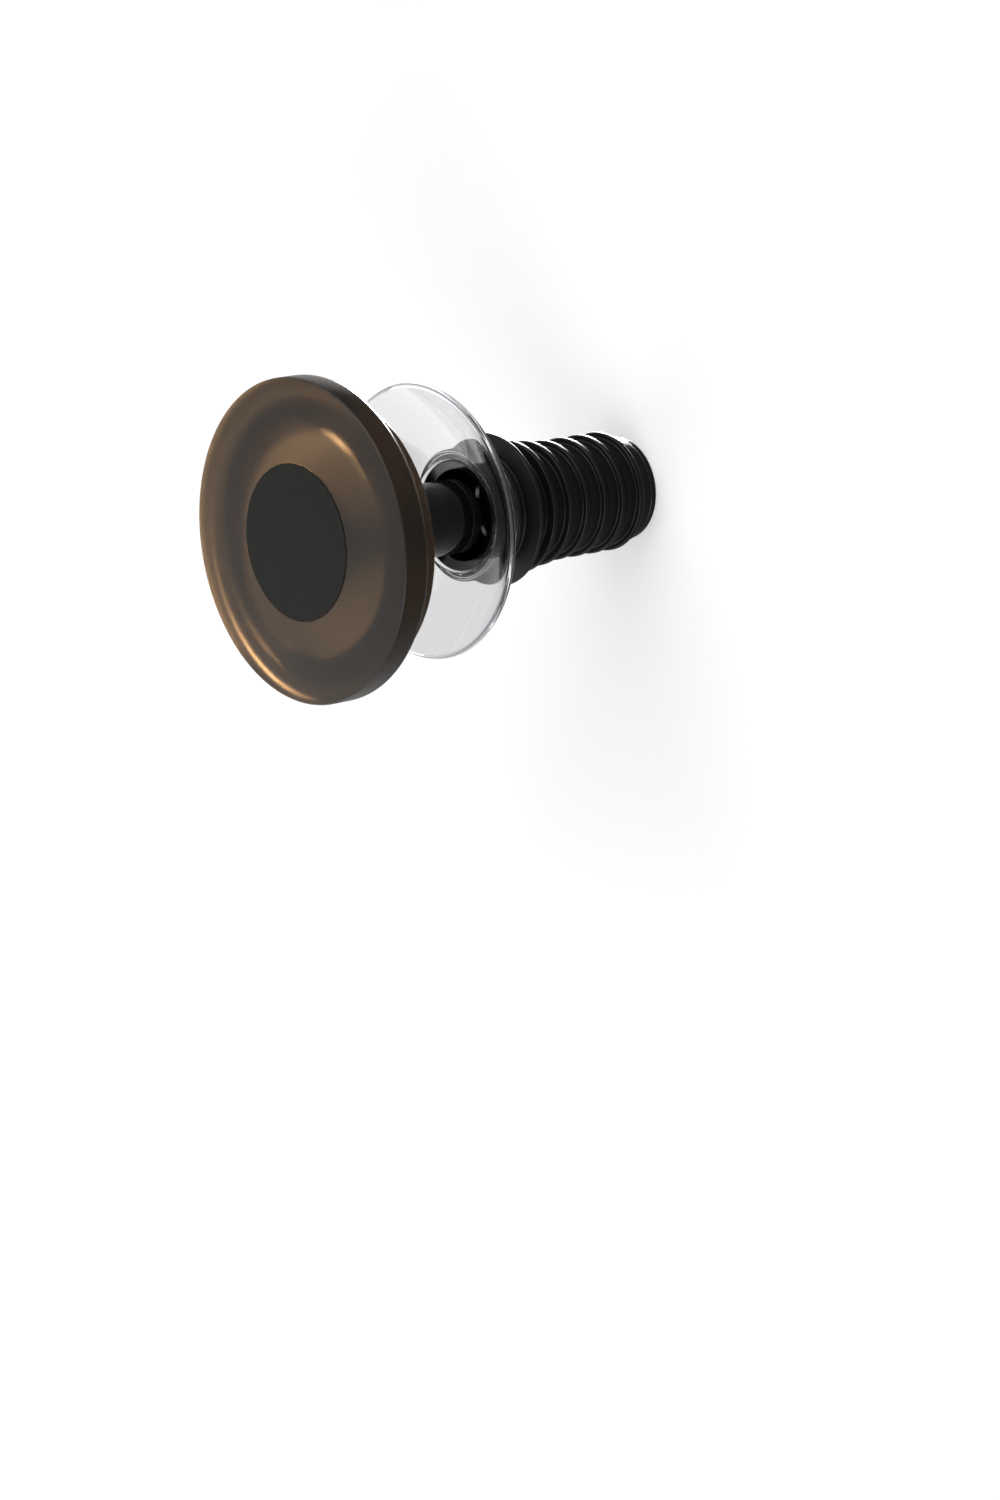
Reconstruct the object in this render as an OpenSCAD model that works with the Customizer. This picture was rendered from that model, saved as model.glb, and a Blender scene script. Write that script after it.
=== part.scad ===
// Wine pourer stopper with a push-pull cap.
// A silicone sleeve on a rigid core plugs the neck of the bottle, and a clear bowl on top of the core guides
// the pour. The smoked cap rides on a hollow stem. Pulled up, it opens the throat; pushed down, it closes it.
// Millimetres. +Z runs along the axis from the plug to the cap. The origin is on the axis, at the lower end
// of the plug. The cap is drawn pulled up. Heights that fit the bottle are taken from the underside of the
// stop flange, which is the face that sits on the lip of the bottle.

/* [Cap] */
// Width by which the cap stands out past the bowl, all round, for the fingers
cap_overhang = 3.5; // [2.7:0.1:6]
// Height of the cap's side, from its front edge to the underside of the overhang
cap_side_h = 5.15; // [4.5:0.05:7]
// Rise of the cap's face from its edge to its middle
cap_crown = 0.86; // [0.4:0.02:2]
// Rounding of the front edge
cap_front_round = 0.3; // [0.1:0.05:0.8]
// Rounding of the back edge, where fingers pull
cap_back_round = 1.5; // [0.5:0.1:2]
// Height of the skirt below the overhang. The skirt is as wide as the bowl, and comes down on its rim
skirt_h = 3.75; // [2:0.05:6]
// Thickness of the skirt
skirt_wall = 3.25; // [2:0.05:4]
// Thickness of the cap's web inside the skirt, at its edge
cap_web = 3; // [2.4:0.1:4]
// Diameter of the boss that holds the stem
cap_boss_d = 17; // [15:0.5:22]
// Height of that boss below the web
cap_boss_h = 2.5; // [0.5:0.1:4]

/* [Pad] */
// Diameter of the inlaid pad
pad_d = 24.4; // [20:0.2:28]
// Thickness of the pad
pad_t = 0.9; // [0.6:0.1:1.4]
// Height by which the pad stands proud of the face
pad_proud = 0.15; // [0.05:0.05:0.4]

/* [Stem] */
// Diameter of the stem
stem_d = 11.8; // [11:0.1:13]
// Diameter of the hollow inside the stem
stem_bore_d = 8.6; // [8:0.1:9.2]
// Diameter of the head flange under the pad
stem_head_d = 21; // [16:0.5:22]
// Thickness of the head flange
stem_head_t = 1.2; // [0.8:0.1:1.6]
// Height of the stem's shoulder above the throat, when open
stem_rise = 1.1; // [0.5:0.1:3]
// Thickness of the lip inside the stem that stops it on the guide pin
stem_lip_t = 2.2; // [1.5:0.1:4]
// Height of the skirt's lower edge above the bowl's rim, when open
lift = 15.3; // [10:0.1:20]

/* [Seal] */
// Height of the seal ring
seal_h = 1.9; // [1.5:0.1:3]
// Rounding of the seal ring's lower edge
seal_round = 0.9; // [0.5:0.1:1.1]
// Diameter of the spigot that carries the ring
spigot_d = 9.2; // [8.6:0.1:9.6]
// Width of the bead that holds the ring on its spigot
spigot_bead = 0.35; // [0.2:0.05:0.6]
// Height of that bead
spigot_bead_h = 0.5; // [0.4:0.1:1]

/* [Guide pin] */
// Diameter of the pin on which the stem slides
pin_d = 4.6; // [4:0.1:5.4]
// Diameter of the pin's head, which stops the stem
pin_head_d = 8; // [7:0.1:8.2]
// Height of the pin's head
pin_head_h = 2.4; // [1.5:0.1:4]
// Diameter of the pin's end in its hub
pin_tail_d = 3.6; // [3:0.1:4]

/* [Bowl] */
// Diameter of the bowl's rim
bowl_d = 43.7; // [38:0.1:46]
// Thickness of the bowl's wall
bowl_wall = 1; // [0.8:0.1:1.6]
// Height of the bowl's floor, where its wall meets the neck, above the flange's underside
bowl_floor_h = 7.75; // [7:0.05:9]
// Height of the rim's top above the flange's underside
rim_h = 15.3; // [13:0.1:20]
// Wall of the neck that fits over the core
neck_wall = 1; // [0.8:0.1:1.5]
// Fillet between the bowl and its neck, outside
neck_fillet = 1.5; // [0.5:0.1:2]

/* [Core] */
// Diameter of the throat
throat_d = 14.4; // [13.4:0.1:15]
// Height of the throat's edge above the flange's underside
throat_h = 8; // [7:0.1:9]
// Outer diameter of the core's head in the bowl's neck
head_d = 17.8; // [17:0.1:19]
// Fall of the bevel from the head's outer edge to the throat
throat_fall = 0.7; // [0.3:0.1:1.2]
// Height of the underside of the bowl's seat above the flange's underside
seat_ring_h = 2.3; // [1.8:0.1:3]
// Thickness of the bowl's seat
seat_ring_t = 0.85; // [0.6:0.05:1.5]
// Outer diameter of the core inside the sleeve
core_d = 15.6; // [15:0.1:16]
// Diameter of the channel through the core
channel_d = 13.2; // [12.6:0.1:13.4]
// Diameter of the valve seat
valve_d = 10.6; // [10.3:0.1:11]
// Length of the valve seat
valve_len = 0.8; // [0.5:0.1:1.5]
// Diameter of the hub that holds the guide pin
hub_d = 7.2; // [6.4:0.1:8]
// Height of the hub and its ribs
hub_h = 5.5; // [4:0.5:7]
// Clearance between the closed stem's end and the hub
hub_clear = 1.2; // [0.8:0.1:2]
// Number of ribs between the hub and the core
rib_count = 3; // [3:1:5]
// Thickness of a rib
rib_t = 1.2; // [0.8:0.1:1.6]
// Height by which the hub stands past its ribs, above and below
rib_inset = 0.5; // [0.2:0.1:1]
// Height of the bead that holds the sleeve at the bottom
end_bead_h = 1.2; // [0.8:0.1:2]
// Width of that bead beyond the core
end_bead = 0.6; // [0.3:0.1:0.7]

/* [Sleeve] */
// Length of the plug below the flange's underside
plug_len = 28; // [26:0.5:36]
// Diameter of the stop flange
flange_d = 24.6; // [22:0.2:28]
// Thickness of the stop flange at its edge
flange_t = 0.8; // [0.6:0.1:1.5]
// Diameter of the sleeve's collar above the flange
collar_d = 18.4; // [17.6:0.1:20]
// Diameter of the sleeve's body below the flange
sleeve_d = 17.4; // [16.8:0.1:18]
// Diameter of the top sealing lip
top_lip_d = 21.4; // [20:0.1:22]
// Diameter of the second sealing lip
second_lip_d = 20.2; // [19.6:0.1:21]
// Diameter of the other sealing lips, which grip the bottle's bore
lip_d = 19.4; // [19:0.1:20]
// Distance from one sealing lip to the next. As many lips are made as fit on the plug
lip_pitch = 3.9; // [3:0.1:5]
// Depth of the top sealing lip below the flange's underside
top_lip_depth = 3.8; // [3:0.1:5]
// Least height of plain sleeve below the lowest sealing lip
lip_end_gap = 0.5; // [0.2:0.1:2]
// Rounding of the sleeve's lower edge
sleeve_nose = 0.5; // [0.2:0.1:0.6]
// Height of a sealing lip at its tip
lip_land = 0.8; // [0.5:0.1:1.2]
// Height of a sealing lip at its root
lip_root = 1.7; // [1.4:0.1:2]
// Rise of a sealing lip from its root to its tip
lip_rise = 0.9; // [0.4:0.1:1.2]

/* [Fits] */
// Radial gap between fixed pieces that fit together
fit_gap = 0.05; // [0.03:0.01:0.1]
// Radial gap between the guide pin and the stem
slide_gap = 0.05; // [0.03:0.01:0.1]
// Gap left at each stop and at the closed valve
stop_gap = 0.1; // [0.05:0.05:0.3]

/* [Hidden] */
$fn = 96;

SMOKE = "#4a403a";
PAD_BLACK = "#30302c";
GLOSS_BLACK = "#1d1e1f";
SEAL_BLACK = "#151515";
CLEAR = "#dfe3e6";
SLEEVE_BLACK = "#161617";

ARC_STEPS = 8;

// Heights, from the plug up to the cap, with the cap pulled up
flange_z = plug_len;
throat_z = flange_z + throat_h;
rim_z = flange_z + rim_h;
skirt_z = rim_z + lift;
overhang_z = skirt_z + skirt_h;
cap_edge_z = overhang_z + cap_side_h;
travel = lift - stop_gap;
stem_shoulder_z = throat_z + stem_rise;
seal_low_z = stem_shoulder_z - seal_h;
stem_end_z = seal_low_z - spigot_bead_h;
pin_head_z = stem_shoulder_z + stem_lip_t + stop_gap;
hub_top_z = stem_end_z - travel - hub_clear;
seat_ring_z = flange_z + seat_ring_h;
seat_ring_top_z = seat_ring_z + seat_ring_t;

// Radii that more than one piece uses
skirt_r = bowl_d / 2;
cap_r = skirt_r + cap_overhang;
stem_r = stem_d / 2;
pad_r = pad_d / 2;
stem_hole_r = pin_d / 2 + slide_gap;
core_r = core_d / 2;
head_r = head_d / 2;
neck_bore_r = head_r + fit_gap;
neck_r = neck_bore_r + neck_wall;
channel_r = channel_d / 2;
throat_r = throat_d / 2;
valve_r = valve_d / 2;

// Points of an arc about centre c, from angle a0 to a1
function arc(c, r, a0, a1) = [for (i = [0:ARC_STEPS])
    let (a = a0 + (a1 - a0) * i / ARC_STEPS)
    [c[0] + r * cos(a), c[1] + r * sin(a)]];

// The cap's face is part of a sphere through its edge and its crown
face_r = (cap_r * cap_r + cap_crown * cap_crown) / (2 * cap_crown);
function face_z(x) = cap_edge_z + cap_crown - face_r + sqrt(face_r * face_r - x * x);
function face_line(x0, x1, rise) = [for (i = [0:ARC_STEPS])
    let (x = x0 + (x1 - x0) * i / ARC_STEPS)
    [x, face_z(x) + rise]];

// The pad's pocket, and the pocket for the stem's head below it
pad_pocket_r = pad_r + fit_gap;
pad_floor_z = face_z(pad_r) + pad_proud - pad_t;
head_pocket_r = stem_head_d / 2 + fit_gap;
head_floor_z = pad_floor_z - stem_head_t;
web_z = cap_edge_z - cap_web;

// Smoked, satin, translucent disc: crowned face, rounded finger edge, and a skirt round a recess underneath
module cap_disc() {
    recess_r = skirt_r - skirt_wall;
    recess_round = 0.8;
    skirt_root = 0.6;
    skirt_edge = 0.5;
    edge_r = cap_r - cap_front_round;
    boss_r = cap_boss_d / 2;
    bore_r = stem_r + fit_gap;
    color(SMOKE)
    rotate_extrude()
    polygon(concat(
        [[bore_r, web_z - cap_boss_h], [bore_r, head_floor_z]],
        [[head_pocket_r, head_floor_z], [head_pocket_r, pad_floor_z]],
        [[pad_pocket_r, pad_floor_z]],
        face_line(pad_pocket_r, edge_r, 0),
        arc([edge_r, face_z(edge_r) - cap_front_round], cap_front_round, 60, 0),
        arc([cap_r - cap_back_round, overhang_z + cap_back_round], cap_back_round, 0, -90),
        arc([skirt_r + skirt_root, overhang_z - skirt_root], skirt_root, 90, 180),
        arc([skirt_r - skirt_edge, skirt_z + skirt_edge], skirt_edge, 0, -90),
        arc([recess_r + skirt_edge, skirt_z + skirt_edge], skirt_edge, 270, 180),
        arc([recess_r - recess_round, web_z - recess_round], recess_round, 0, 90),
        arc([boss_r + recess_round, web_z - recess_round], recess_round, 90, 180),
        [[boss_r, web_z - cap_boss_h]]
    ));
}

// Black inlay, pressed into the middle of the face. It hides the head of the stem
module cap_pad() {
    edge = 0.12;
    color(PAD_BLACK)
    rotate_extrude()
    polygon(concat(
        [[0, pad_floor_z], [pad_r, pad_floor_z]],
        [[pad_r, face_z(pad_r) + pad_proud - edge]],
        face_line(pad_r - edge, 0, pad_proud)
    ));
}

// Hollow stem with a head flange that bears on the cap. The lip at its lower end slides on the guide pin,
// and the spigot below its shoulder carries the seal
module stem() {
    spigot_r = spigot_d / 2;
    bead_r = spigot_r + spigot_bead;
    bore_r = stem_bore_d / 2;
    lip_z = stem_shoulder_z + stem_lip_t;
    edge = 0.3;
    color(GLOSS_BLACK)
    rotate_extrude()
    polygon([
        [stem_hole_r + edge, stem_end_z],
        [bead_r - edge, stem_end_z],
        [bead_r, stem_end_z + spigot_bead_h / 2],
        [bead_r, seal_low_z],
        [spigot_r, seal_low_z],
        [spigot_r, stem_shoulder_z],
        [stem_r - edge, stem_shoulder_z],
        [stem_r, stem_shoulder_z + edge],
        [stem_r, head_floor_z],
        [stem_head_d / 2, head_floor_z],
        [stem_head_d / 2, pad_floor_z],
        [bore_r, pad_floor_z],
        [bore_r, lip_z],
        [stem_hole_r, lip_z],
        [stem_hole_r, stem_end_z + edge]
    ]);
}

// Silicone ring below the stem's shoulder. Its rounded edge comes down on the valve seat
module stem_seal() {
    inner_r = spigot_d / 2 + fit_gap;
    outer_r = stem_r - fit_gap;
    color(SEAL_BLACK)
    rotate_extrude()
    polygon(concat(
        [[inner_r, stem_shoulder_z], [inner_r, seal_low_z]],
        arc([outer_r - seal_round, seal_low_z + seal_round], seal_round, -90, 0),
        [[outer_r, stem_shoulder_z]]
    ));
}

// Headed pin, pressed into the hub of the core from above. Its head stops the stem at the open end
module guide_pin() {
    head_r = pin_head_d / 2;
    edge = 0.4;
    tail_end_z = hub_top_z - hub_h;
    color(GLOSS_BLACK)
    rotate_extrude()
    polygon([
        [0, tail_end_z],
        [pin_tail_d / 2 - edge, tail_end_z],
        [pin_tail_d / 2, tail_end_z + edge],
        [pin_tail_d / 2, hub_top_z],
        [pin_d / 2, hub_top_z],
        [pin_d / 2, pin_head_z],
        [head_r, pin_head_z],
        [head_r, pin_head_z + pin_head_h - edge],
        [head_r - edge, pin_head_z + pin_head_h],
        [0, pin_head_z + pin_head_h]
    ]);
}

// Clear bowl of even wall on a sphere, with a round lip and a short neck that fits over the core's head
module funnel() {
    lip_r = bowl_wall / 2;
    lip_x = bowl_d / 2 - lip_r;
    lip_z = rim_z - lip_r;
    // The middle of the wall lies on a sphere from the lip to the top of the neck
    neck_x = neck_bore_r + neck_wall / 2;
    floor_z = flange_z + bowl_floor_h;
    centre_z = (pow(lip_x, 2) + pow(lip_z, 2) - pow(neck_x, 2) - pow(floor_z, 2)) / (2 * (lip_z - floor_z));
    sphere_r = norm([lip_x, centre_z - lip_z]);
    outer_r = sphere_r + lip_r;
    inner_r = sphere_r - lip_r;
    rim_a = -acos(lip_x / sphere_r);
    // The outside fillet touches the sphere and the neck
    fillet_x = neck_r + neck_fillet;
    fillet_reach = outer_r + neck_fillet;
    fillet_a = -acos(fillet_x / fillet_reach);
    fillet_z = centre_z + fillet_reach * sin(fillet_a);
    // The inside edge turns down into the neck
    mouth_round = 0.5;
    mouth_x = neck_bore_r + mouth_round;
    mouth_reach = inner_r + mouth_round;
    mouth_a = -acos(mouth_x / mouth_reach);
    mouth_z = centre_z + mouth_reach * sin(mouth_a);
    color(CLEAR, 0.4)
    rotate_extrude()
    polygon(concat(
        [[neck_bore_r, seat_ring_top_z], [neck_r, seat_ring_top_z]],
        arc([fillet_x, fillet_z], neck_fillet, 180, 180 + fillet_a),
        arc([0, centre_z], outer_r, fillet_a, rim_a),
        arc([lip_x, lip_z], lip_r, rim_a, rim_a + 180),
        arc([0, centre_z], inner_r, rim_a, mouth_a),
        arc([mouth_x, mouth_z], mouth_round, 180 + mouth_a, 180)
    ));
}

// Outline of the core's wall: head with a bevelled throat, seat for the bowl, tube, and bead at the end
module core_profile() {
    seal_outer_r = stem_r - fit_gap;
    // The closed seal's rounded edge lies one stop gap off a cone at 45 degrees
    round_x = seal_outer_r - seal_round;
    round_z = seal_low_z - travel + seal_round;
    cone_sum = round_x - round_z + (seal_round + stop_gap) * sqrt(2);
    valve_z = valve_r - cone_sum;
    cone_top_z = channel_r - cone_sum;
    taper_h = 4;
    taper_z = cone_top_z + taper_h;
    seat_ring_r = neck_r;
    bead_r = core_r + end_bead;
    edge = 0.4;
    polygon([
        [channel_r, 0],
        [bead_r - edge, 0],
        [bead_r, edge],
        [bead_r, end_bead_h - edge / 2],
        [bead_r - edge / 2, end_bead_h],
        [core_r, end_bead_h],
        [core_r, seat_ring_z],
        [seat_ring_r, seat_ring_z],
        [seat_ring_r, seat_ring_top_z],
        [head_r, seat_ring_top_z],
        [head_r, throat_z - edge / 2],
        [head_r - edge / 2, throat_z],
        [throat_r + edge, throat_z - throat_fall],
        [throat_r, throat_z - throat_fall - edge],
        [throat_r, taper_z + (throat_r - channel_r)],
        [channel_r, taper_z],
        [channel_r, cone_top_z],
        [valve_r, valve_z],
        [valve_r, valve_z - valve_len],
        [channel_r, valve_z - valve_len - (channel_r - valve_r)]
    ]);
}

// One rib, pointed above and below so that the liquid parts round it
module rib() {
    half_t = rib_t / 2;
    rib_h = hub_h - 2 * rib_inset;
    start = (pin_tail_d / 2 + hub_d / 2) / 2;
    end = (channel_r + core_r) / 2;
    translate([start, 0, hub_top_z - hub_h + rib_inset])
    rotate([90, 0, 90])
    linear_extrude(end - start)
    polygon([
        [-half_t, half_t], [0, 0], [half_t, half_t],
        [half_t, rib_h - half_t], [0, rib_h], [-half_t, rib_h - half_t]
    ]);
}

// Rigid black tube that carries everything, with the hub for the guide pin on its ribs
module plug_core() {
    color(GLOSS_BLACK)
    difference() {
        union() {
            rotate_extrude() core_profile();
            translate([0, 0, hub_top_z - hub_h]) cylinder(d = hub_d, h = hub_h);
            for (i = [0:rib_count - 1]) rotate(360 * i / rib_count) rib();
        }
        translate([0, 0, hub_top_z - hub_h - 1]) cylinder(d = pin_tail_d + 2 * fit_gap, h = hub_h + 2);
    }
}

// Height of the middle of sealing lip i, and the number of lips that fit above the sleeve's lower edge
function sealing_lip_z(i) = flange_z - top_lip_depth - i * lip_pitch;
lip_foot = lip_rise + lip_root / 2;
lowest_lip_z = end_bead_h + sleeve_nose + lip_end_gap + lip_foot;
lip_count = 1 + floor((sealing_lip_z(0) - lowest_lip_z) / lip_pitch);

function sealing_lip_r(i) = (i == 0 ? top_lip_d : i == 1 ? second_lip_d : lip_d) / 2;

// Outline of one sealing lip, from below its tip to above it. Its tip is a short cylinder
function sealing_lip(x, z) = [
    [sleeve_d / 2, z - lip_foot],
    [x, z - lip_land / 2],
    [x, z + lip_land / 2],
    [sleeve_d / 2, z - lip_foot + lip_root]
];

// Silicone sleeve in one piece: collar, stop flange and sealing lips
module plug_sleeve() {
    inner_r = core_r + fit_gap;
    edge_r = flange_t / 2;
    tip_x = flange_d / 2 - edge_r;
    collar_r = collar_d / 2;
    sleeve_r = sleeve_d / 2;
    root_rise = 0.5;
    color(SLEEVE_BLACK)
    rotate_extrude()
    polygon(concat(
        [[inner_r, end_bead_h], [sleeve_r - sleeve_nose, end_bead_h], [sleeve_r, end_bead_h + sleeve_nose]],
        [for (i = [lip_count - 1:-1:0]) each sealing_lip(sealing_lip_r(i), sealing_lip_z(i))],
        [[sleeve_r, flange_z]],
        arc([tip_x, flange_z + edge_r], edge_r, -90, 90),
        [[collar_r, flange_z + flange_t + root_rise], [collar_r, seat_ring_z], [inner_r, seat_ring_z]]
    ));
}

cap_disc();
cap_pad();
stem();
stem_seal();
guide_pin();
funnel();
plug_core();
plug_sleeve();
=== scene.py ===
import math

import bmesh
import bpy
from mathutils import Matrix, Vector


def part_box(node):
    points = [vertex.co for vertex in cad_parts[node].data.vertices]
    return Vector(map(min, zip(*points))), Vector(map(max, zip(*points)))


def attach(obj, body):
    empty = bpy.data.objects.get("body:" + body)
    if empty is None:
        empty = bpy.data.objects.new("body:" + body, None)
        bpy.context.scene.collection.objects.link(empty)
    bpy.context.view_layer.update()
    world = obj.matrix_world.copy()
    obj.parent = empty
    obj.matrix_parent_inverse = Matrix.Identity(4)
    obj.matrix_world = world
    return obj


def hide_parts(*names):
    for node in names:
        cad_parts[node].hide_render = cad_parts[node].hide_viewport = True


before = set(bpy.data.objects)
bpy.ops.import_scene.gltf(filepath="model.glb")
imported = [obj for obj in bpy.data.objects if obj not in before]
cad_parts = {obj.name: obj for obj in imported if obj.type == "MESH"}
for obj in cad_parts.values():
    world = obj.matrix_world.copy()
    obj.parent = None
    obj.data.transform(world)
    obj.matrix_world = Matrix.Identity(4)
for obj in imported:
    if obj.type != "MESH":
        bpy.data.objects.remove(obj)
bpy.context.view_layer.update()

# Core
# The rigid black tube that carries everything. Its bevelled top is the throat, and a hub on three ribs holds
# the guide pin in the middle of the channel. One glossy ABS moulding, bonded into the neck of the bowl.

MM = 0.001


def reach(name):
    """Outer radius, lowest and highest point of a CAD node, in millimetres."""
    low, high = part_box(name)
    return high.x / MM, low.z / MM, high.z / MM


def arc(x, z, radius, start, end, steps):
    """Sharp section points along an arc, with its angles in degrees."""
    turns = [math.radians(start + (end - start) * i / steps) for i in range(steps + 1)]
    return [(x + radius * math.cos(a), z + radius * math.sin(a), 0) for a in turns]


def rounded(corners, steps):
    """Points of a closed section. Each corner is (radius, height, fillet), in millimetres."""
    points = []
    for i, (x, z, fillet) in enumerate(corners):
        here = Vector((x, z))
        if not fillet:
            points.append(here)
            continue
        before = (Vector(corners[i - 1][:2]) - here).normalized()
        after = (Vector(corners[(i + 1) % len(corners)][:2]) - here).normalized()
        half = before.angle(after) / 2
        centre = here + (before + after).normalized() * fillet / math.sin(half)
        start = here + before * fillet / math.tan(half) - centre
        end = here + after * fillet / math.tan(half) - centre
        first = math.atan2(start.y, start.x)
        swing = (math.atan2(end.y, end.x) - first + math.pi) % math.tau - math.pi
        turns = [first + swing * k / steps for k in range(steps + 1)]
        points += [centre + fillet * Vector((math.cos(a), math.sin(a))) for a in turns]
    return points


def seal_up(mesh, crease=32):
    """Merges doubles, points the faces outwards, and shades smooth up to the crease angle in degrees."""
    work = bmesh.new()
    work.from_mesh(mesh)
    bmesh.ops.remove_doubles(work, verts=work.verts, dist=1e-7)
    bmesh.ops.recalc_face_normals(work, faces=work.faces)
    for face in work.faces:
        face.smooth = True
    work.to_mesh(mesh)
    work.free()
    mesh.set_sharp_from_angle(angle=math.radians(crease))


def turned(name, corners, around=192, steps=6):
    """A closed solid of revolution about Z, from the corners of its section."""
    section = rounded(corners, steps)
    spin = [Matrix.Rotation(math.tau * i / around, 3, "Z") for i in range(around)]
    places = [turn @ Vector((p.x, 0, p.y)) * MM for turn in spin for p in section]
    count = len(section)
    faces = []
    for i in range(around):
        here, there = i * count, (i + 1) % around * count
        for k in range(count):
            after = (k + 1) % count
            faces.append((here + k, there + k, there + after, here + after))
    mesh = bpy.data.meshes.new(name)
    mesh.from_pydata(places, [], faces)
    seal_up(mesh)
    made = bpy.data.objects.new(name, mesh)
    bpy.context.scene.collection.objects.link(made)
    return made


def add(tree, kind, inputs=(), **settings):
    """Adds a node. Inputs are (socket, value) pairs, where a value may be another node's output socket."""
    made = tree.nodes.new(kind)
    for key, value in settings.items():
        setattr(made, key, value)
    for key, value in inputs:
        if isinstance(value, bpy.types.NodeSocket):
            tree.links.new(value, made.inputs[key])
        else:
            made.inputs[key].default_value = value
    return made


def socket(tree, side, name, kind, value=None):
    """Adds a named input or output to a node group."""
    made = tree.interface.new_socket(name=name, in_out=side, socket_type="NodeSocket" + kind)
    if value is not None:
        made.default_value = value


def skin_group():
    """Moulded skin: a fine grain that lifts the surface, and slow patches where the gloss changes a bit."""
    tree = bpy.data.node_groups.new("moulded_skin", "ShaderNodeTree")
    socket(tree, "INPUT", "Grain per mm", "Float", 4.0)
    socket(tree, "INPUT", "Grain height in mm", "Float", 0.01)
    socket(tree, "INPUT", "Roughness", "Float", 0.3)
    socket(tree, "INPUT", "Roughness spread", "Float", 0.05)
    socket(tree, "OUTPUT", "Roughness", "Float")
    socket(tree, "OUTPUT", "Normal", "Vector")
    given = add(tree, "NodeGroupInput").outputs
    place = add(tree, "ShaderNodeTexCoord").outputs["Object"]
    per_metre = add(tree, "ShaderNodeMath", [(0, given["Grain per mm"]), (1, 1 / MM)], operation="MULTIPLY")
    grain = add(tree, "ShaderNodeTexNoise", [("Vector", place), ("Scale", per_metre.outputs[0]),
                ("Detail", 3)])
    height = add(tree, "ShaderNodeMath", [(0, given["Grain height in mm"]), (1, MM)], operation="MULTIPLY")
    bump = add(tree, "ShaderNodeBump", [("Height", grain.outputs["Fac"]), ("Distance", height.outputs[0])])
    patches = add(tree, "ShaderNodeTexNoise", [("Vector", place), ("Scale", 180), ("Detail", 2)])
    gloss = add(tree, "ShaderNodeMath", [(0, patches.outputs["Fac"]), (1, 0.5)], operation="SUBTRACT")
    spread = add(tree, "ShaderNodeMath", [(0, gloss.outputs[0]), (1, given["Roughness spread"]),
                 (2, given["Roughness"])], operation="MULTIPLY_ADD")
    add(tree, "NodeGroupOutput", [("Roughness", spread.outputs[0]), ("Normal", bump.outputs["Normal"])])
    return tree


moulded_skin = skin_group()


def plastic(name, colour, grain, grain_height, roughness, spread, **sockets):
    """A Principled material with the moulded skin. Its other sockets are given by name, with _ for space."""
    made = bpy.data.materials.new(name)
    made.use_nodes = True
    tree = made.node_tree
    shader = tree.nodes["Principled BSDF"]
    skin = add(tree, "ShaderNodeGroup", node_tree=moulded_skin)
    skin.inputs["Grain per mm"].default_value = grain
    skin.inputs["Grain height in mm"].default_value = grain_height
    skin.inputs["Roughness"].default_value = roughness
    skin.inputs["Roughness spread"].default_value = spread
    tree.links.new(skin.outputs["Roughness"], shader.inputs["Roughness"])
    tree.links.new(skin.outputs["Normal"], shader.inputs["Normal"])
    shader.inputs["Base Color"].default_value = (*colour, 1)
    for key, value in sockets.items():
        shader.inputs[key.replace("_", " ")].default_value = value
    return made


def fit(piece, material, body, slot, *nodes):
    """Gives a piece its material, and its place in the assembly."""
    if not piece.data.materials:
        piece.data.materials.append(material)
    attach(piece, body)
    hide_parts(*nodes)


seat_r, core_low, throat_edge = reach("plug_core")
rim_r, bowl_low, rim_top = reach("funnel")
seal_r, seal_low, seal_high = reach("stem_seal")
cap_r, cap_low, _ = reach("cap_disc")
fit_gap, stop_gap, seal_gap = 0.05, 0.1, 0.16
travel = cap_low - rim_top - stop_gap
wall_r, channel_r, throat_r, head_r = 7.8, 6.6, 7.2, 8.9
end_bead_r, end_bead_h = wall_r + 0.6, 1.2
seat_low = 30.3
throat_fall, throat_h = 0.9, 4
valve_r, valve_len = 5.3, 0.8
valve_top = seal_low - travel - seal_gap
valve_low = valve_top - valve_len
cone_top = valve_top + channel_r - valve_r
throat_low = cone_top + throat_h

core_wall = turned("core_wall", [
    (channel_r, core_low, 0.3), (end_bead_r, core_low, 0.4), (end_bead_r, core_low + end_bead_h, 0.25),
    (wall_r, core_low + end_bead_h, 0.1), (wall_r, seat_low, 0.1), (seat_r, seat_low, 0.2),
    (seat_r, bowl_low, 0.05), (head_r, bowl_low, 0.05), (head_r, throat_edge, 0.2),
    (throat_r, throat_edge - throat_fall, 0.5), (throat_r, throat_low + throat_r - channel_r, 0.4),
    (channel_r, throat_low, 0.4), (channel_r, cone_top, 0.3), (valve_r, valve_top, 0.15),
    (valve_r, valve_low, 0.15), (channel_r, valve_low - channel_r + valve_r, 0.3),
])

hub_r, hub_h = 3.6, 5.5
hub_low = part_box("guide_pin")[0].z / MM
hub_high = hub_low + hub_h
pin_tail_r = 1.8
hub = turned("hub", [
    (pin_tail_r, hub_low, 0.1), (hub_r, hub_low, 0.3), (hub_r, hub_high, 0.3), (pin_tail_r, hub_high, 0.1),
], around=96)


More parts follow.
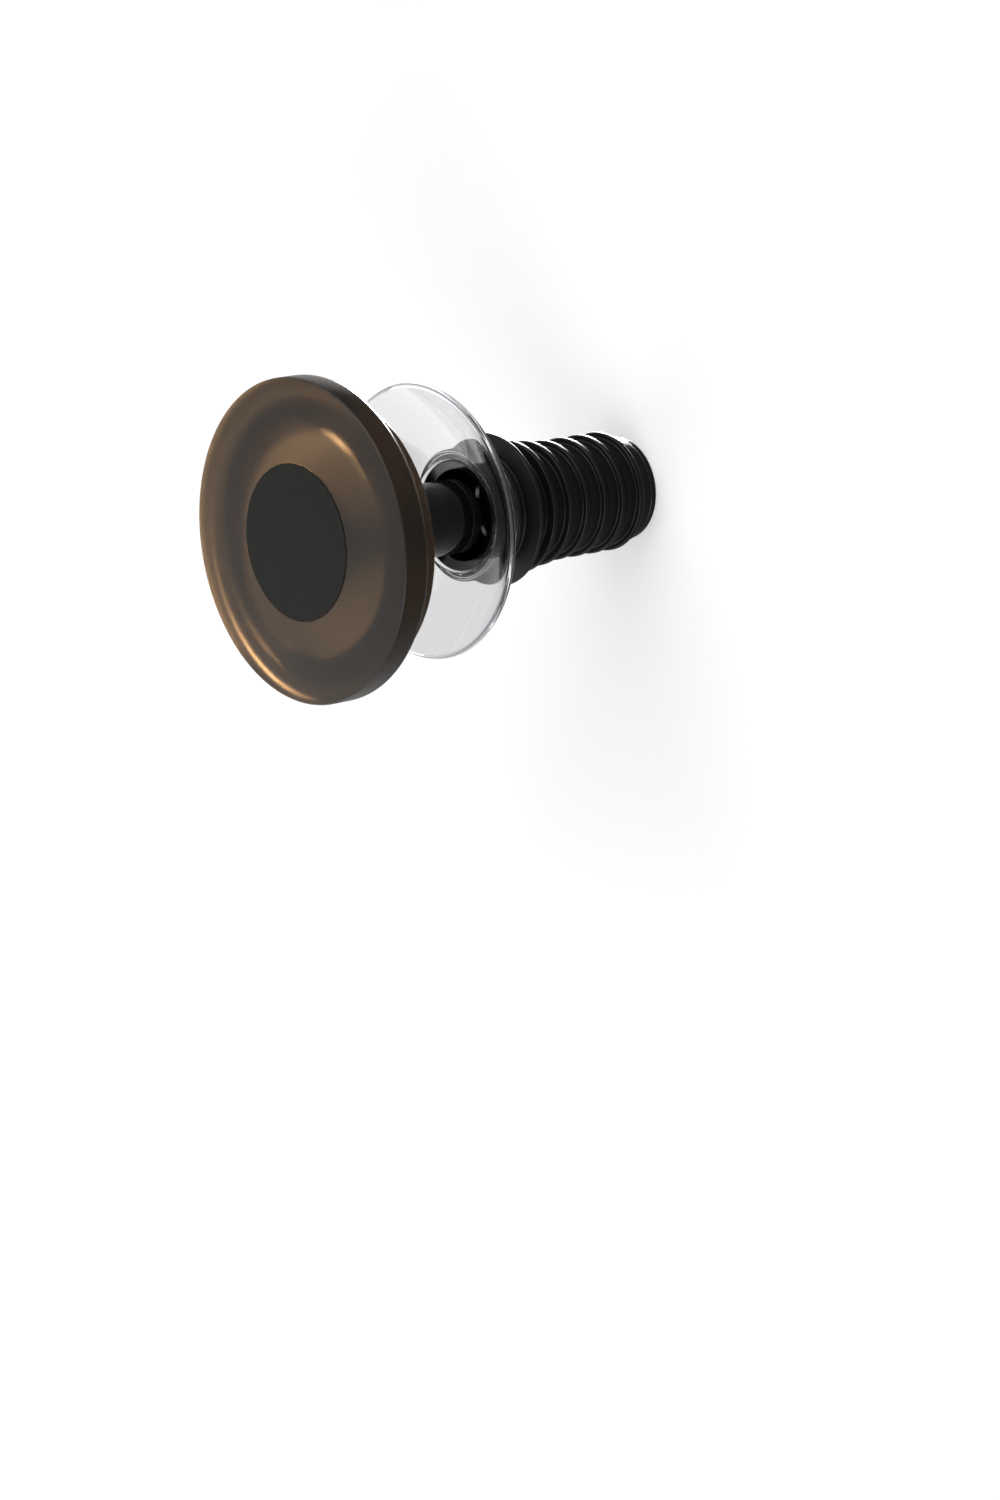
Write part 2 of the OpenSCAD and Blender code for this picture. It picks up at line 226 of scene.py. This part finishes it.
def rib_tree():
    """Ribs set evenly round the axis, each pointed above and below, joined with the hub and the wall."""
    tree = bpy.data.node_groups.new("ribs_and_hub", "GeometryNodeTree")
    socket(tree, "INPUT", "Wall", "Geometry")
    socket(tree, "INPUT", "Hub", "Object")
    socket(tree, "INPUT", "Rib", "Object")
    socket(tree, "INPUT", "Count", "Int", 3)
    socket(tree, "INPUT", "Material", "Material")
    socket(tree, "OUTPUT", "Geometry", "Geometry")
    given = add(tree, "NodeGroupInput").outputs
    hub_info = add(tree, "GeometryNodeObjectInfo", [("Object", given["Hub"])])
    rib_info = add(tree, "GeometryNodeObjectInfo", [("Object", given["Rib"])])
    spots = add(tree, "GeometryNodePoints", [("Count", given["Count"])])
    index = add(tree, "GeometryNodeInputIndex")
    step = add(tree, "ShaderNodeMath", [(0, math.tau), (1, given["Count"])], operation="DIVIDE")
    turn = add(tree, "ShaderNodeMath", [(0, index.outputs[0]), (1, step.outputs[0])], operation="MULTIPLY")
    spin = add(tree, "ShaderNodeCombineXYZ", [("Z", turn.outputs[0])])
    ribs = add(tree, "GeometryNodeInstanceOnPoints", [("Points", spots.outputs[0]),
               ("Instance", rib_info.outputs["Geometry"]), ("Rotation", spin.outputs[0])])
    real = add(tree, "GeometryNodeRealizeInstances", [("Geometry", ribs.outputs[0])])
    union = add(tree, "GeometryNodeMeshBoolean", operation="UNION", solver="EXACT")
    for part in (given["Wall"], hub_info.outputs["Geometry"], real.outputs[0]):
        tree.links.new(part, union.inputs["Mesh 2"])
    dressed = add(tree, "GeometryNodeSetMaterial", [("Geometry", union.outputs["Mesh"]),
                  ("Material", given["Material"])])
    add(tree, "NodeGroupOutput", [("Geometry", dressed.outputs[0])])
    return tree


def grown(base, tree, name, **values):
    """The plain mesh that a geometry tree grows on a base object, whose own object is then removed."""
    modifier = base.modifiers.new(name, "NODES")
    modifier.node_group = tree
    for item in tree.interface.items_tree:
        if item.in_out == "INPUT" and item.name.replace(" ", "_") in values:
            modifier[item.identifier] = values[item.name.replace(" ", "_")]
    graph = bpy.context.evaluated_depsgraph_get()
    mesh = bpy.data.meshes.new_from_object(base.evaluated_get(graph))
    mesh.name = name
    bpy.data.objects.remove(base)
    seal_up(mesh)
    made = bpy.data.objects.new(name, mesh)
    bpy.context.scene.collection.objects.link(made)
    return made


gloss_black = plastic("gloss_black", (0.004, 0.004, 0.0045), grain=3, grain_height=0.002, roughness=0.12,
                      spread=0.06, IOR=1.46)

rib_half, rib_inset = 0.6, 0.5
rib_low, rib_high = hub_low + rib_inset, hub_high - rib_inset
rib_start, rib_end = (pin_tail_r + hub_r) / 2, (channel_r + wall_r) / 2
rib_side = [(-rib_half, rib_low + rib_half), (0, rib_low), (rib_half, rib_low + rib_half),
            (rib_half, rib_high - rib_half), (0, rib_high), (-rib_half, rib_high - rib_half)]
rib_ends = [range(6), range(11, 5, -1)]
rib_flanks = [(i, 6 + i, 6 + (i + 1) % 6, (i + 1) % 6) for i in range(6)]
rib_mesh = bpy.data.meshes.new("rib")
rib_mesh.from_pydata([Vector((x, y, z)) * MM for x in (rib_start, rib_end) for y, z in rib_side], [],
                     rib_ends + rib_flanks)
seal_up(rib_mesh)
rib = bpy.data.objects.new("rib", rib_mesh)
bpy.context.scene.collection.objects.link(rib)

core = grown(core_wall, rib_tree(), "core", Hub=hub, Rib=rib, Count=3, Material=gloss_black)
bpy.data.objects.remove(hub)
bpy.data.objects.remove(rib)
fit(core, gloss_black, "pourer", "black_plastic", "plug_core")

# Guide pin
# A headed pin of black ABS, pressed into the hub from above. The hollow stem slides on it, and its head stops
# the stem when the cap is pulled up.

pin_head_r, pin_low, pin_high = reach("guide_pin")
pin_r, pin_head_h = 2.3, 2.4
pin = turned("guide_pin_turned", [
    (0, pin_low, 0), (pin_tail_r, pin_low, 0.4), (pin_tail_r, hub_high, 0), (pin_r, hub_high, 0.1),
    (pin_r, pin_high - pin_head_h, 0.1), (pin_head_r, pin_high - pin_head_h, 0.1),
    (pin_head_r, pin_high, 0.5), (0, pin_high, 0),
], around=96)
fit(pin, gloss_black, "pourer", "black_plastic", "guide_pin")

# Sleeve
# A black silicone sleeve, moulded in one piece and stretched over the core. Its thin flange stops on the lip
# of the bottle, and its sealing lips grip the bore below.


def lip_tree():
    """A turned sleeve. Its section is the given plain outline, closed by a row of sealing lips."""
    tree = bpy.data.node_groups.new("lipped_sleeve", "GeometryNodeTree")
    socket(tree, "INPUT", "Plain outline", "Geometry")
    socket(tree, "INPUT", "Lip count", "Int", 6)
    for name in ("Lip pitch", "Lowest lip", "Body radius", "Lip radius", "Second radius", "Top radius",
                 "Tip height", "Root height", "Rise", "Tip fillet", "Sweep radius"):
        socket(tree, "INPUT", name, "Float")
    socket(tree, "INPUT", "Steps around", "Int", 192)
    socket(tree, "INPUT", "Material", "Material")
    socket(tree, "OUTPUT", "Geometry", "Geometry")
    given = add(tree, "NodeGroupInput").outputs

    def maths(operation, *terms):
        return add(tree, "ShaderNodeMath", list(enumerate(terms)), operation=operation).outputs[0]

    def pick(index, *choices):
        switch = add(tree, "GeometryNodeIndexSwitch", data_type="FLOAT")
        while len(switch.index_switch_items) < len(choices):
            switch.index_switch_items.new()
        tree.links.new(index, switch.inputs["Index"])
        for i, choice in enumerate(choices):
            if isinstance(choice, bpy.types.NodeSocket):
                tree.links.new(choice, switch.inputs[i + 1])
            else:
                switch.inputs[i + 1].default_value = choice
        return switch.outputs[0]

    corners = 4
    index = add(tree, "GeometryNodeInputIndex").outputs[0]
    lip = maths("FLOOR", maths("DIVIDE", index, corners))
    corner = maths("MODULO", index, corners)
    from_top = maths("SUBTRACT", maths("SUBTRACT", given["Lip count"], 1), lip)
    tip_r = pick(maths("MINIMUM", from_top, 2), given["Top radius"], given["Second radius"],
                 given["Lip radius"])
    radius = pick(corner, given["Body radius"], tip_r, tip_r, given["Body radius"])
    half_tip = maths("MULTIPLY", given["Tip height"], 0.5)
    half_root = maths("MULTIPLY", given["Root height"], 0.5)
    offset = pick(corner, maths("SUBTRACT", maths("MULTIPLY", half_root, -1), given["Rise"]),
                  maths("MULTIPLY", half_tip, -1), half_tip, maths("SUBTRACT", half_root, given["Rise"]))
    height = maths("ADD", maths("MULTIPLY_ADD", lip, given["Lip pitch"], given["Lowest lip"]), offset)
    spot = add(tree, "ShaderNodeCombineXYZ", [("X", radius), ("Y", height)])
    row = add(tree, "GeometryNodeMeshLine", [("Count", maths("MULTIPLY", given["Lip count"], corners))])
    lips = add(tree, "GeometryNodeSetPosition", [("Geometry", row.outputs[0]), ("Position", spot.outputs[0])])
    marked = add(tree, "GeometryNodeStoreNamedAttribute", [("Geometry", lips.outputs[0]), ("Name", "fillet"),
                 ("Value", given["Tip fillet"])], data_type="FLOAT", domain="POINT")
    joined = add(tree, "GeometryNodeJoinGeometry")
    tree.links.new(given["Plain outline"], joined.inputs[0])
    tree.links.new(marked.outputs[0], joined.inputs[0])
    welded = add(tree, "GeometryNodeMergeByDistance", [("Geometry", joined.outputs[0]), ("Distance", 1e-6)])
    section = add(tree, "GeometryNodeMeshToCurve", [("Mesh", welded.outputs[0])])
    fillet = add(tree, "GeometryNodeInputNamedAttribute", [("Name", "fillet")], data_type="FLOAT")
    soft = add(tree, "GeometryNodeFilletCurve", [("Curve", section.outputs[0]), ("Count", 5),
               ("Radius", fillet.outputs["Attribute"]), ("Limit Radius", True)], mode="POLY")
    inward = add(tree, "ShaderNodeCombineXYZ", [("X", maths("MULTIPLY", given["Sweep radius"], -1))])
    moved = add(tree, "GeometryNodeTransform", [("Geometry", soft.outputs[0]),
                ("Translation", inward.outputs[0]), ("Scale", (1, -1, 1))])
    circle = add(tree, "GeometryNodeCurvePrimitiveCircle", [("Resolution", given["Steps around"]),
                 ("Radius", given["Sweep radius"])])
    upright = add(tree, "GeometryNodeSetCurveNormal", [("Curve", circle.outputs[0])], mode="Z_UP")
    swept = add(tree, "GeometryNodeCurveToMesh", [("Curve", upright.outputs[0]),
                ("Profile Curve", moved.outputs[0])])
    real = add(tree, "GeometryNodeRealizeInstances", [("Geometry", swept.outputs[0])])
    dressed = add(tree, "GeometryNodeSetMaterial", [("Geometry", real.outputs[0]),
                  ("Material", given["Material"])])
    add(tree, "NodeGroupOutput", [("Geometry", dressed.outputs[0])])
    return tree


flange_r, sleeve_low, sleeve_high = reach("plug_sleeve")
flange_low, flange_t, collar_rise = 28.0, 0.8, 0.5
flange_top = flange_low + flange_t
sleeve_r, collar_r, sleeve_bore = 8.7, 9.2, 7.85
lip_r, second_lip_r, top_lip_r = 9.7, 10.1, 10.7
lip_count, lip_pitch, top_lip = 6, 3.9, 24.2
lip_rise, lip_root, lip_tip, tip_round = 0.9, 1.7, 0.8, 0.22
lowest_lip = top_lip - (lip_count - 1) * lip_pitch
plain_outline = [
    (sleeve_r, top_lip - lip_rise + lip_root / 2, 0.1), (sleeve_r, flange_low, 0.1),
    (flange_r, flange_low, 0.3), (flange_r, flange_top, 0.3), (collar_r, flange_top + collar_rise, 0.3),
    (collar_r, sleeve_high, 0.2), (sleeve_bore, sleeve_high, 0.05), (sleeve_bore, sleeve_low, 0.1),
    (sleeve_r, sleeve_low, 0.5), (sleeve_r, lowest_lip - lip_rise - lip_root / 2, 0.1),
]
sleeve_mesh = bpy.data.meshes.new("plain_outline")
sleeve_mesh.from_pydata([Vector((r, z, 0)) * MM for r, z, _ in plain_outline],
                        [(i, i + 1) for i in range(len(plain_outline) - 1)], [])
fillets = sleeve_mesh.attributes.new("fillet", "FLOAT", "POINT")
fillets.data.foreach_set("value", [f * MM for _, _, f in plain_outline])
sleeve_base = bpy.data.objects.new("plain_outline", sleeve_mesh)
bpy.context.scene.collection.objects.link(sleeve_base)
silicone = plastic("silicone", (0.005, 0.005, 0.0055), grain=6, grain_height=0.004, roughness=0.42,
                   spread=0.1, IOR=1.41, Specular_IOR_Level=0.35)
sleeve = grown(sleeve_base, lip_tree(), "sleeve", Lip_count=lip_count, Lip_pitch=lip_pitch * MM,
               Lowest_lip=lowest_lip * MM, Body_radius=sleeve_r * MM, Lip_radius=lip_r * MM,
               Second_radius=second_lip_r * MM, Top_radius=top_lip_r * MM, Tip_height=lip_tip * MM,
               Root_height=lip_root * MM, Rise=lip_rise * MM, Tip_fillet=tip_round * MM,
               Sweep_radius=sleeve_bore * MM, Steps_around=192, Material=silicone)
fit(sleeve, silicone, "pourer", "sleeve_silicone", "plug_sleeve")

# Bowl
# The clear bowl that catches drips: an even wall on a sphere, with a round lip, and a short neck bonded over
# the head of the core. Injection moulded and polished.

bowl_wall, neck_wall, bowl_floor_h = 1.0, 1.0, 7.75
neck_bore = head_r + fit_gap
neck_r = neck_bore + neck_wall
lip_x, lip_z = rim_r - bowl_wall / 2, rim_top - bowl_wall / 2
floor_x, floor_z = neck_bore + neck_wall / 2, flange_low + bowl_floor_h
centre_z = (lip_x ** 2 + lip_z ** 2 - floor_x ** 2 - floor_z ** 2) / (2 * (lip_z - floor_z))
sphere_r = math.hypot(lip_x, centre_z - lip_z)
outer_r, inner_r = sphere_r + bowl_wall / 2, sphere_r - bowl_wall / 2
rim_angle = -math.degrees(math.acos(lip_x / sphere_r))
neck_fillet, mouth_round = 1.5, 0.5


def touching(x, radius, sphere, side):
    """Height and angle at which a fillet's circle at distance x from the axis touches the sphere."""
    reach_r = sphere + side * radius
    angle = -math.degrees(math.acos(x / reach_r))
    return centre_z + reach_r * math.sin(math.radians(angle)), angle


fillet_z, fillet_angle = touching(neck_r + neck_fillet, neck_fillet, outer_r, 1)
mouth_z, mouth_angle = touching(neck_bore + mouth_round, mouth_round, inner_r, 1)
bowl = turned("bowl", [
    (neck_bore, bowl_low, 0.05), (neck_r, bowl_low, 0.1),
    *arc(neck_r + neck_fillet, fillet_z, neck_fillet, 180, 180 + fillet_angle, 10),
    *arc(0, centre_z, outer_r, fillet_angle, rim_angle, 40),
    *arc(lip_x, lip_z, bowl_wall / 2, rim_angle, rim_angle + 180, 20),
    *arc(0, centre_z, inner_r, rim_angle, mouth_angle, 40),
    *arc(neck_bore + mouth_round, mouth_z, mouth_round, 180 + mouth_angle, 180, 8),
], around=240)
clear = plastic("clear", (0.97, 0.97, 0.975), grain=0.25, grain_height=0.004, roughness=0.01, spread=0.0,
                IOR=1.52, Transmission_Weight=1.0)
clear_tree = clear.node_tree
bounces = add(clear_tree, "ShaderNodeLightPath").outputs["Ray Depth"]
# A ray that has bounced this often goes straight on, a little dimmed, or the rim would turn black.
often = 3.5
deep = add(clear_tree, "ShaderNodeMath", [(0, bounces), (1, often)], operation="GREATER_THAN")
straight = add(clear_tree, "ShaderNodeBsdfTransparent", [("Color", (0.72, 0.71, 0.73, 1))])
bent = clear_tree.nodes["Principled BSDF"].outputs[0]
wall = add(clear_tree, "ShaderNodeMixShader", [(0, deep.outputs[0]), (1, bent), (2, straight.outputs[0])])
clear_tree.links.new(wall.outputs[0], clear_tree.nodes["Material Output"].inputs["Surface"])
fit(bowl, clear, "pourer", "clear_plastic", "funnel")

# Stem
# The hollow black stem that carries the cap and slides on the guide pin, one glossy ABS moulding. Its head
# lies under the inlay, and the spigot below its shoulder holds the seal.

stem_head_r, stem_low, stem_high = reach("stem")
stem_r, stem_bore, spigot_r, stem_hole = 5.9, 4.3, 4.6, 2.35
spigot_bead_r = spigot_r + 0.35
stem_head_t, stem_lip_t = 1.2, 2.2
head_low, lip_high = stem_high - stem_head_t, seal_high + stem_lip_t
stem = turned("stem_turned", [
    (stem_hole, stem_low, 0.3), (spigot_bead_r, stem_low, 0.2), (spigot_bead_r, seal_low, 0.05),
    (spigot_r, seal_low, 0.05), (spigot_r, seal_high, 0.05), (stem_r, seal_high, 0.3),
    (stem_r, head_low, 0.1), (stem_head_r, head_low, 0.1), (stem_head_r, stem_high, 0.2),
    (stem_bore, stem_high, 0.2), (stem_bore, lip_high, 0.1), (stem_hole, lip_high, 0.1),
], around=160)
fit(stem, gloss_black, "cap", "black_plastic", "stem")

# Seal
# A moulded ring of black silicone, snapped over the bead of the spigot. When the cap is down, its rounded
# edge closes the channel of the core.

seal_bore, seal_round = spigot_r + fit_gap, 0.85
seal = turned("seal_ring", [
    (seal_bore, seal_low, 0.1), (seal_r, seal_low, seal_round), (seal_r, seal_high, 0.1),
    (seal_bore, seal_high, 0.05),
], around=128, steps=10)
fit(seal, silicone, "cap", "seal_silicone", "stem_seal")

# Cap
# The round finger cap: smoked acrylic with a satin face, crowned a little. Its rounded rim stands out past
# the skirt, which comes down on the bowl, and the boss in the middle of the recess grips the stem.

pad_r, pad_low, _ = reach("cap_pad")
side_h, skirt_h, crown = 5.15, 3.75, 0.86
overhang_z = cap_low + skirt_h
cap_edge = overhang_z + side_h
face_r = (cap_r ** 2 + crown ** 2) / (2 * crown)


def face_z(x):
    """Height of the cap's crowned face at a distance from the axis."""
    return cap_edge + crown - face_r + math.sqrt(face_r ** 2 - x ** 2)


def crowned(start, end, rise=0.0, steps=16):
    """Section points along the face."""
    places = [start + (end - start) * i / steps for i in range(steps + 1)]
    return [(x, face_z(x) + rise, 0) for x in places]


skirt_wall, web_t, boss_h = 3.25, 3, 2.5
skirt_r, recess_r, boss_r = rim_r, rim_r - skirt_wall, 8.5
web_low, boss_low = cap_edge - web_t, cap_edge - web_t - boss_h
front_round, back_round, skirt_root, skirt_edge, recess_round = 0.3, 1.5, 0.6, 0.5, 0.8
pocket_r, head_pocket_r, bore_r = pad_r + fit_gap, stem_head_r + fit_gap, stem_r + fit_gap
edge_x = cap_r - front_round
cap = turned("cap_disc_turned", [
    (bore_r, boss_low, 0.2), (bore_r, head_low, 0.05), (head_pocket_r, head_low, 0.05),
    (head_pocket_r, pad_low, 0.05), (pocket_r, pad_low, 0.05), (pocket_r, face_z(pocket_r), 0.05),
    *crowned(pocket_r + 0.1, edge_x - 0.1),
    *arc(edge_x, face_z(edge_x) - front_round, front_round, 86, 0, 8),
    *arc(cap_r - back_round, overhang_z + back_round, back_round, 0, -90, 16),
    (skirt_r, overhang_z, skirt_root), (skirt_r, cap_low, skirt_edge), (recess_r, cap_low, skirt_edge),
    (recess_r, web_low, recess_round), (boss_r, web_low, recess_round), (boss_r, boss_low, 0.3),
], around=240, steps=10)
smoke = plastic("smoked_satin", (0.8, 0.49, 0.21), grain=5, grain_height=0.004, roughness=0.4, spread=0.03,
                IOR=1.49, Transmission_Weight=0.992)
smoke_tree = smoke.node_tree
absorb = add(smoke_tree, "ShaderNodeVolumeAbsorption", [("Color", (0.5, 0.48, 0.48, 1)), ("Density", 930)])
smoke_tree.links.new(absorb.outputs[0], smoke_tree.nodes["Material Output"].inputs["Volume"])
fit(cap, smoke, "cap", "smoked_plastic", "cap_disc")

# Inlay
# The disc in the middle of the cap: matt black ABS, moulded, and pressed into its pocket a hair proud of the
# face. It hides the head of the stem.

pad_proud, pad_round = 0.15, 0.1
pad = turned("inlay", [
    (0, pad_low, 0), (pad_r, pad_low, 0.1), (pad_r, face_z(pad_r) + pad_proud, pad_round),
    *crowned(pad_r - 1.5 * pad_round, 0, pad_proud),
], around=192)
matt_black = plastic("matt_black", (0.009, 0.009, 0.0075), grain=9, grain_height=0.01, roughness=0.62,
                     spread=0.08, IOR=1.4, Specular_IOR_Level=0.3)
fit(pad, matt_black, "cap", "pad_plastic", "cap_pad")

# Studio
# A white floor that the part stands on, and a white room. Three soft lamps stand round it, and a small one
# under the floor shines up through the smoked cap, so the floor stops neither light nor a clear view. It
# keeps the soft shadow of the part, and is dark in front where the gloss of the part mirrors it.


def between(tree, value, start, end, low, high):
    """A level that goes from low to high while the value goes from start to end."""
    return add(tree, "ShaderNodeMapRange", [("Value", value), ("From Min", start), ("From Max", end),
               ("To Min", low), ("To Max", high)]).outputs[0]


kinds_of_ray = {"through": ("Is Transmission Ray", 0), "mirrored": ("Glossy Depth", 0),
                "inside": ("Glossy Depth", 1), "camera": ("Is Camera Ray", 0)}


def seen_as(tree, light, **seen):
    """The level that light meets, or the one given for a kind of ray. The last kind that fits counts."""
    ray = add(tree, "ShaderNodeLightPath").outputs
    level = light
    for kind, (measure, first) in kinds_of_ray.items():
        if kind in seen:
            level = between(tree, ray[measure], first, first + 1, level, seen[kind])
    return level


floor_half = 4.0
floor_mesh = bpy.data.meshes.new("floor")
floor_mesh.from_pydata([Vector((x, y, 0)) * floor_half for x, y in ((-1, -1), (1, -1), (1, 1), (-1, 1))], [],
                       [(0, 1, 2, 3)])
floor = bpy.data.objects.new("floor", floor_mesh)
bpy.context.scene.collection.objects.link(floor)
floor_paint = bpy.data.materials.new("floor_paint")
floor_paint.use_nodes = True
paint = floor_paint.node_tree
paint.nodes.remove(paint.nodes["Principled BSDF"])
place = add(paint, "ShaderNodeTexCoord").outputs["Object"]
depth = add(paint, "ShaderNodeVectorMath", [(0, place), (1, (-0.5, 1, 0))], operation="DOT_PRODUCT")
to_back = between(paint, depth.outputs["Value"], start=-0.02, end=0.12, low=0.03, high=0.6)
distance = add(paint, "ShaderNodeVectorMath", [(0, place)], operation="LENGTH")
far_off = between(paint, distance.outputs["Value"], start=0.2, end=1.0, low=0.28, high=0.6)
colour = seen_as(paint, 0.8, mirrored=0.12, inside=0.4)
strength = seen_as(paint, 0.0, mirrored=to_back, inside=0.35, camera=far_off)
matt = add(paint, "ShaderNodeBsdfDiffuse", [("Color", colour)])
glow = add(paint, "ShaderNodeEmission", [("Strength", strength)])
white = add(paint, "ShaderNodeAddShader", [(0, matt.outputs[0]), (1, glow.outputs[0])])
nothing = add(paint, "ShaderNodeBsdfTransparent")
gone = add(paint, "ShaderNodeNewGeometry").outputs["Backfacing"]
shadow_ray = add(paint, "ShaderNodeLightPath").outputs["Is Shadow Ray"]
clear_view = seen_as(paint, 0.0, through=1.0, mirrored=0.0)
for let_through in (shadow_ray, clear_view):
    gone = add(paint, "ShaderNodeMath", [(0, gone), (1, let_through)], operation="MAXIMUM").outputs[0]
sides = add(paint, "ShaderNodeMixShader", [(0, gone), (1, white.outputs[0]), (2, nothing.outputs[0])])
paint.links.new(sides.outputs[0], paint.nodes["Material Output"].inputs["Surface"])
floor_mesh.materials.append(floor_paint)

world = bpy.data.worlds.new("white_room")
bpy.context.scene.world = world
world.use_nodes = True
room = world.node_tree
level = seen_as(room, 0.45, through=0.74, mirrored=0.6, inside=0.8, camera=1.0)
room.links.new(level, room.nodes["Background"].inputs["Strength"])
room.nodes["Background"].inputs["Color"].default_value = (1, 1, 1, 1)
part_middle = Vector((0, 0, 0.04))


def lamp(name, place, size, power):
    """A soft square lamp that looks at the middle of the part."""
    light = bpy.data.lights.new(name, "AREA")
    light.size = size
    light.energy = power
    made = bpy.data.objects.new(name, light)
    made.location = place
    aim = part_middle - made.location
    made.rotation_euler = aim.to_track_quat("-Z", "Y").to_euler()
    bpy.context.scene.collection.objects.link(made)


lamp("key", (0.9, -0.2, 0.8), size=1.3, power=9)
lamp("fill", (-0.8, -0.5, 0.6), size=0.8, power=5)
lamp("back", (-0.5, 0.6, 0.25), size=0.8, power=2.5)
lamp("glow", (0.105, 0.131, -0.162), size=0.045, power=2.1)

# Camera
# The view of the photograph. The camera looks down at the cap from the front, and lies on its side, so that
# the part points to the right.

camera_data = bpy.data.cameras.new("camera")
camera_data.lens = 100
camera_data.sensor_width = 36
camera_place = Vector((0, -506.7, cap_edge + 390.8)) * MM
camera = bpy.data.objects.new("camera", camera_data)
bpy.context.scene.collection.objects.link(camera)
bpy.context.scene.camera = camera
picture_up = Vector((0.9845, -0.0635, -0.1639)).normalized()
back = Vector((0.0571, -0.7661, 0.6402)).normalized()
right = picture_up.cross(back).normalized()
turn = Matrix((right, back.cross(right), back)).transposed()
camera.matrix_world = Matrix.Translation(camera_place) @ turn.to_4x4()

bpy.context.scene.view_settings.view_transform = "Standard"
